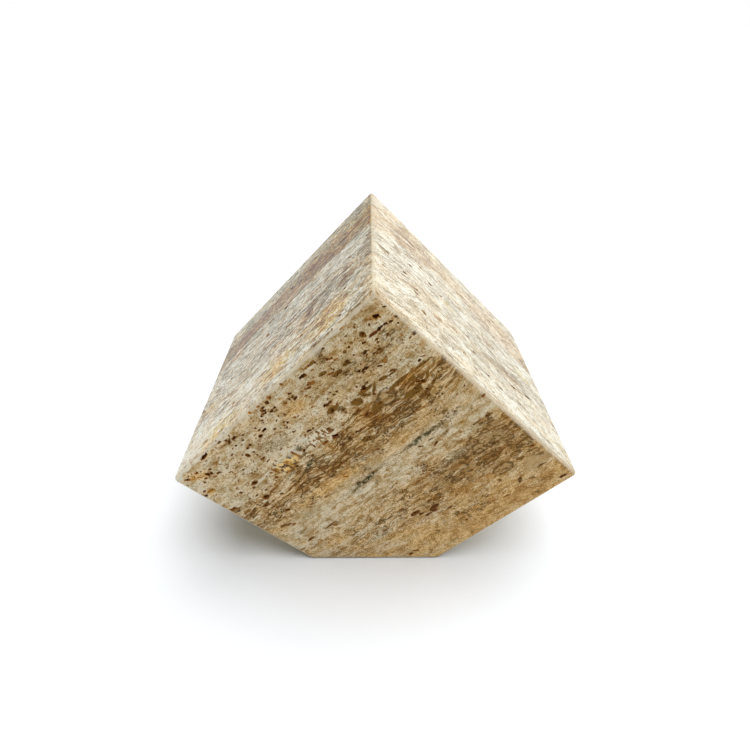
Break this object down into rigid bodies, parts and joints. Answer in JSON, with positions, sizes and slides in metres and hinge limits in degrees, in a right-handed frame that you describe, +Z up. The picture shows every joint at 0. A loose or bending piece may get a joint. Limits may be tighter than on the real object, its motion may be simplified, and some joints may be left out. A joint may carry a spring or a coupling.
{
  "type": "travertine cube",
  "caption": "Solid cube of banded, pitted travertine with polished faces and eased arrises, standing on one edge that is sawn off to a flat foot.",
  "frame": {"origin": "middle of the flat foot that the cube stands on", "axes": "+X to the right across the diamond-shaped end, +Y from the front end to the back end, +Z up from the foot to the top arris"},
  "size_m": [0.1402, 0.1, 0.1155],
  "materials": {
    "travertine": "honed to a satin polish, open pores in the front face, cream filler flush along the arrises"
  },
  "bodies": {
    "root": {"travertine_cube": "travertine"}
  },
  "joints": []
}
